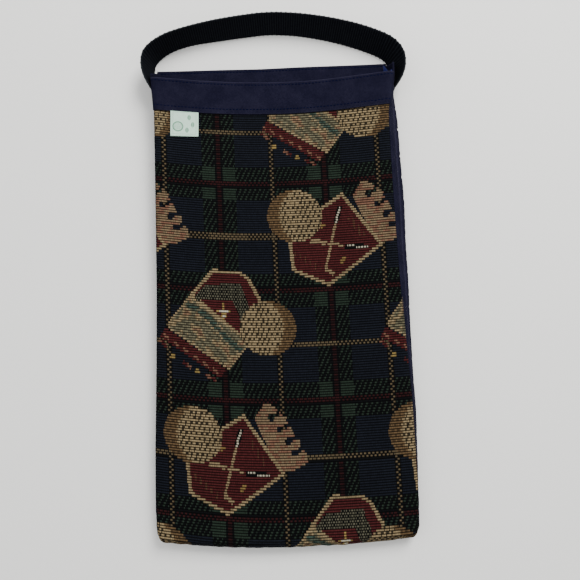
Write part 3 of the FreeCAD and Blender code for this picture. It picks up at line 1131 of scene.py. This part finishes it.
def strapAt(distance):  # place of the lower edge, its lean, and the direction of travel
    distance = min(max(distance, 0.0), strapLong - 0.001)
    first = bisect.bisect_right(strapLengths, distance) - 1
    part = (distance - strapLengths[first]) / (strapLengths[first + 1] - strapLengths[first])
    a, b = strapFine[first], strapFine[first + 1]
    return [lerp(p, q, part) for p, q in zip(a, b)]


def strapFrame(distance):
    x, y, lean, share = strapAt(distance)
    x0, y0 = strapAt(distance - 1.5)[:2]
    x1, y1 = strapAt(distance + 1.5)[:2]
    along = Vector((x1 - x0, y1 - y0, 0)).normalized()
    out = Vector((-along.y, along.x, 0))
    rise = math.sqrt(strap["wide"] ** 2 - lean**2)
    foot = Vector((x + strapShift[0], y + strapShift[1], strap["ground"]))
    return foot, (out * lean + Vector((0, 0, rise))) / strap["wide"] * share, along


def wave(distance, period):
    return math.cos(distance * 2 * math.pi / period)


def strapSpot(distance, height, off):  # height up the strap, off outward from its middle
    foot, upward, along = strapFrame(distance)
    out = along.cross(upward).normalized()
    side = Vector((-along.y, along.x, 0))
    return foot + upward * height + (out if out.dot(side) > 0 else -out) * off


def placeStrap(u, v):
    distance = v * strapLong
    wide, half = strap["wide"], strap["thick"] / 2 - 0.12
    ring = 2 * math.pi * u
    # a flat oval: straight faces, rounded edges
    across, thick = math.cos(ring), math.sin(ring)
    flat = math.copysign(min(1.0, abs(thick) * 2.6), thick)
    height = wide / 2 + (wide / 2 - 0.5) * math.copysign(abs(across) ** 0.75, across)
    edge = max(0.0, abs(across) - 0.93) / 0.07
    height += math.copysign(edge * strap["scallop"] * (wave(distance, strap["rib"]) + 0.3), across)
    face = half + 0.10 * wave(distance, strap["fine"]) + 0.10 * wave(distance, strap["rib"]) * abs(across) ** 3
    return strapSpot(distance, height, flat * face), (distance, height)


# painted highlight: both edges of the strap are painted paler
def strapEdgeHighlight(u, v):
    return max(0.0, abs(math.cos(2 * math.pi * u)) - 0.9) * 6.0


def closeTube(obj):
    bm = bmesh.new()
    bm.from_mesh(obj.data)
    bmesh.ops.remove_doubles(bm, verts=bm.verts, dist=1e-7)
    bmesh.ops.holes_fill(bm, edges=[e for e in bm.edges if e.is_boundary], sides=0)
    bmesh.ops.recalc_face_normals(bm, faces=bm.faces)
    bm.to_mesh(obj.data)
    bm.free()


print("handle")
handle = sheetMesh("webbing_handle", 28, 1000, placeStrap, "webbing", strapEdgeHighlight)
closeTube(handle)
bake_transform(handle)
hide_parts("handle_webbing")


boxSewing = {"middle": 17.0, "half": 8.5, "pitch": 2.8}


def boxStitches(side):  # a sewn square with a cross in it, on the strap's outer face
    half, centre = boxSewing["half"], strap["wide"] / 2
    middle = boxSewing["middle"] if side < 0 else strapLong - boxSewing["middle"]
    corners = [(a * half, centre + b * half) for a, b in ((-1, -1), (1, -1), (1, 1), (-1, 1))]
    lines = list(zip(corners, corners[1:] + corners[:1]))
    lines += [(corners[0], corners[2]), (corners[1], corners[3])]
    up = (strapSpot(middle, centre, 2.0) - strapSpot(middle, centre, 1.0)).normalized()
    found = []
    for a, b in lines:
        count = round(math.dist(a, b) / boxSewing["pitch"])
        for index in range(count):
            parts = [(index + more) / count for more in (0.2, 0.8)]
            ends = [(lerp(a[0], b[0], part), lerp(a[1], b[1], part)) for part in parts]
            first, last = (strapSpot(middle + d, h, strap["thick"] / 2) for d, h in ends)
            found.append(((first + last) / 2, (last - first).normalized(), up))
    return found


for side, node in ((-1, "left_box_stitching"), (1, "right_box_stitching")):
    sewRow(node.replace("stitching", "stitches"), boxStitches(side), 2.2, 0.5, node, "sides")


# label

labelLow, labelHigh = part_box("cloth_label")


def placeLabel(u, v):
    left, top, side = labelLow.x / mm, labelHigh.y / mm + 1.4, 24.4
    x, y = lerp(left, left + side, u), lerp(top - side, top, v)
    z = frontHeight(x, y) + 0.55
    curl = (1 - v) ** 3 * (0.25 + 0.5 * u)
    return (x + 0.3 * (v - 0.5), y, z + curl), ((u - 0.5) * labelLook["side"], (v - 0.5) * labelLook["side"])


print("label")
labelCloth = thicken(sheetMesh("label_satin", 24, 24, placeLabel, "label"), 0.3)
seamY = labelHigh.y  # where the edge that is sewn down lies; the seam points made from it are not used
seamStart, seamEnd = ((0, seamY + more * mm, labelHigh.z) for more in (0.3, -2.4))
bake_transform(labelCloth)
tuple(seamStart)
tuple(seamEnd)
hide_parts("cloth_label")

# camera, light and floor

view = {
    "target": (9.9, -20.6, 14.0),
    "distance": 505.8,
    "azimuth": -1.6,
    "elevation": 82.4,
    "lens": 36.0,
}


def makeCamera():
    turn, rise = math.radians(view["azimuth"]), math.radians(view["elevation"])
    forward = Vector((-math.sin(turn) * math.cos(rise), math.cos(turn) * math.cos(rise), -math.sin(rise)))
    lens = bpy.data.cameras.new("camera")
    lens.lens = view["lens"]
    lens.clip_start = 0.01
    eye = bpy.data.objects.new("camera", lens)
    eye.location = (Vector(view["target"]) - forward * view["distance"]) * mm
    eye.rotation_euler = forward.to_track_quat("-Z", "Y").to_euler()
    bpy.context.scene.collection.objects.link(eye)
    bpy.context.scene.camera = eye


lights = {
    "window": {"place": (0.62, 1.0, 1.3), "size": 0.8, "power": 44.0, "colour": (1.0, 0.99, 0.97)},
    "fill": {"place": (-0.9, 0.3, 1.6), "size": 1.6, "power": 10.0, "colour": (0.97, 0.98, 1.0)},
}


def makeLights():
    for name, facts in lights.items():
        lamp = bpy.data.lights.new(name, "AREA")
        lamp.energy = facts["power"]
        lamp.size = facts["size"]
        lamp.color = facts["colour"]
        holder = bpy.data.objects.new(name, lamp)
        holder.location = facts["place"]
        holder.rotation_euler = (-Vector(facts["place"])).to_track_quat("-Z", "Y").to_euler()
        bpy.context.scene.collection.objects.link(holder)
    world = bpy.data.worlds.new("room")
    world.use_nodes = True
    world.node_tree.nodes["Background"].inputs[0].default_value = (1.0, 1.0, 1.0, 1.0)
    world.node_tree.nodes["Background"].inputs[1].default_value = 0.84
    bpy.context.scene.world = world


def makeFloor():
    bm = bmesh.new()
    bmesh.ops.create_grid(bm, x_segments=1, y_segments=1, size=3.0)
    mesh = bpy.data.meshes.new("floor")
    bm.to_mesh(mesh)
    bm.free()
    ground = bpy.data.objects.new("floor", mesh)
    bpy.context.scene.collection.objects.link(ground)
    made, tree, shader = newMaterial("paleFloor", 0.75)
    node = tree.nodes.new("ShaderNodeTexCoord")
    split = tree.nodes.new("ShaderNodeSeparateXYZ")
    tree.links.new(node.outputs["Object"], split.inputs[0])
    at = Spot(Flow(tree, split.outputs[0]) * 1000, Flow(tree, split.outputs[1]) * 1000)
    colour = at.colour((0.80, 0.80, 0.785)).paint(at.cloud(0.01) * 0.3, (0.74, 0.74, 0.72))
    finishMaterial(tree, shader, colour, at.cloud(0.4), 0.1)
    mesh.materials.append(made)


print("camera, lights and floor")
makeCamera()
makeLights()
makeFloor()
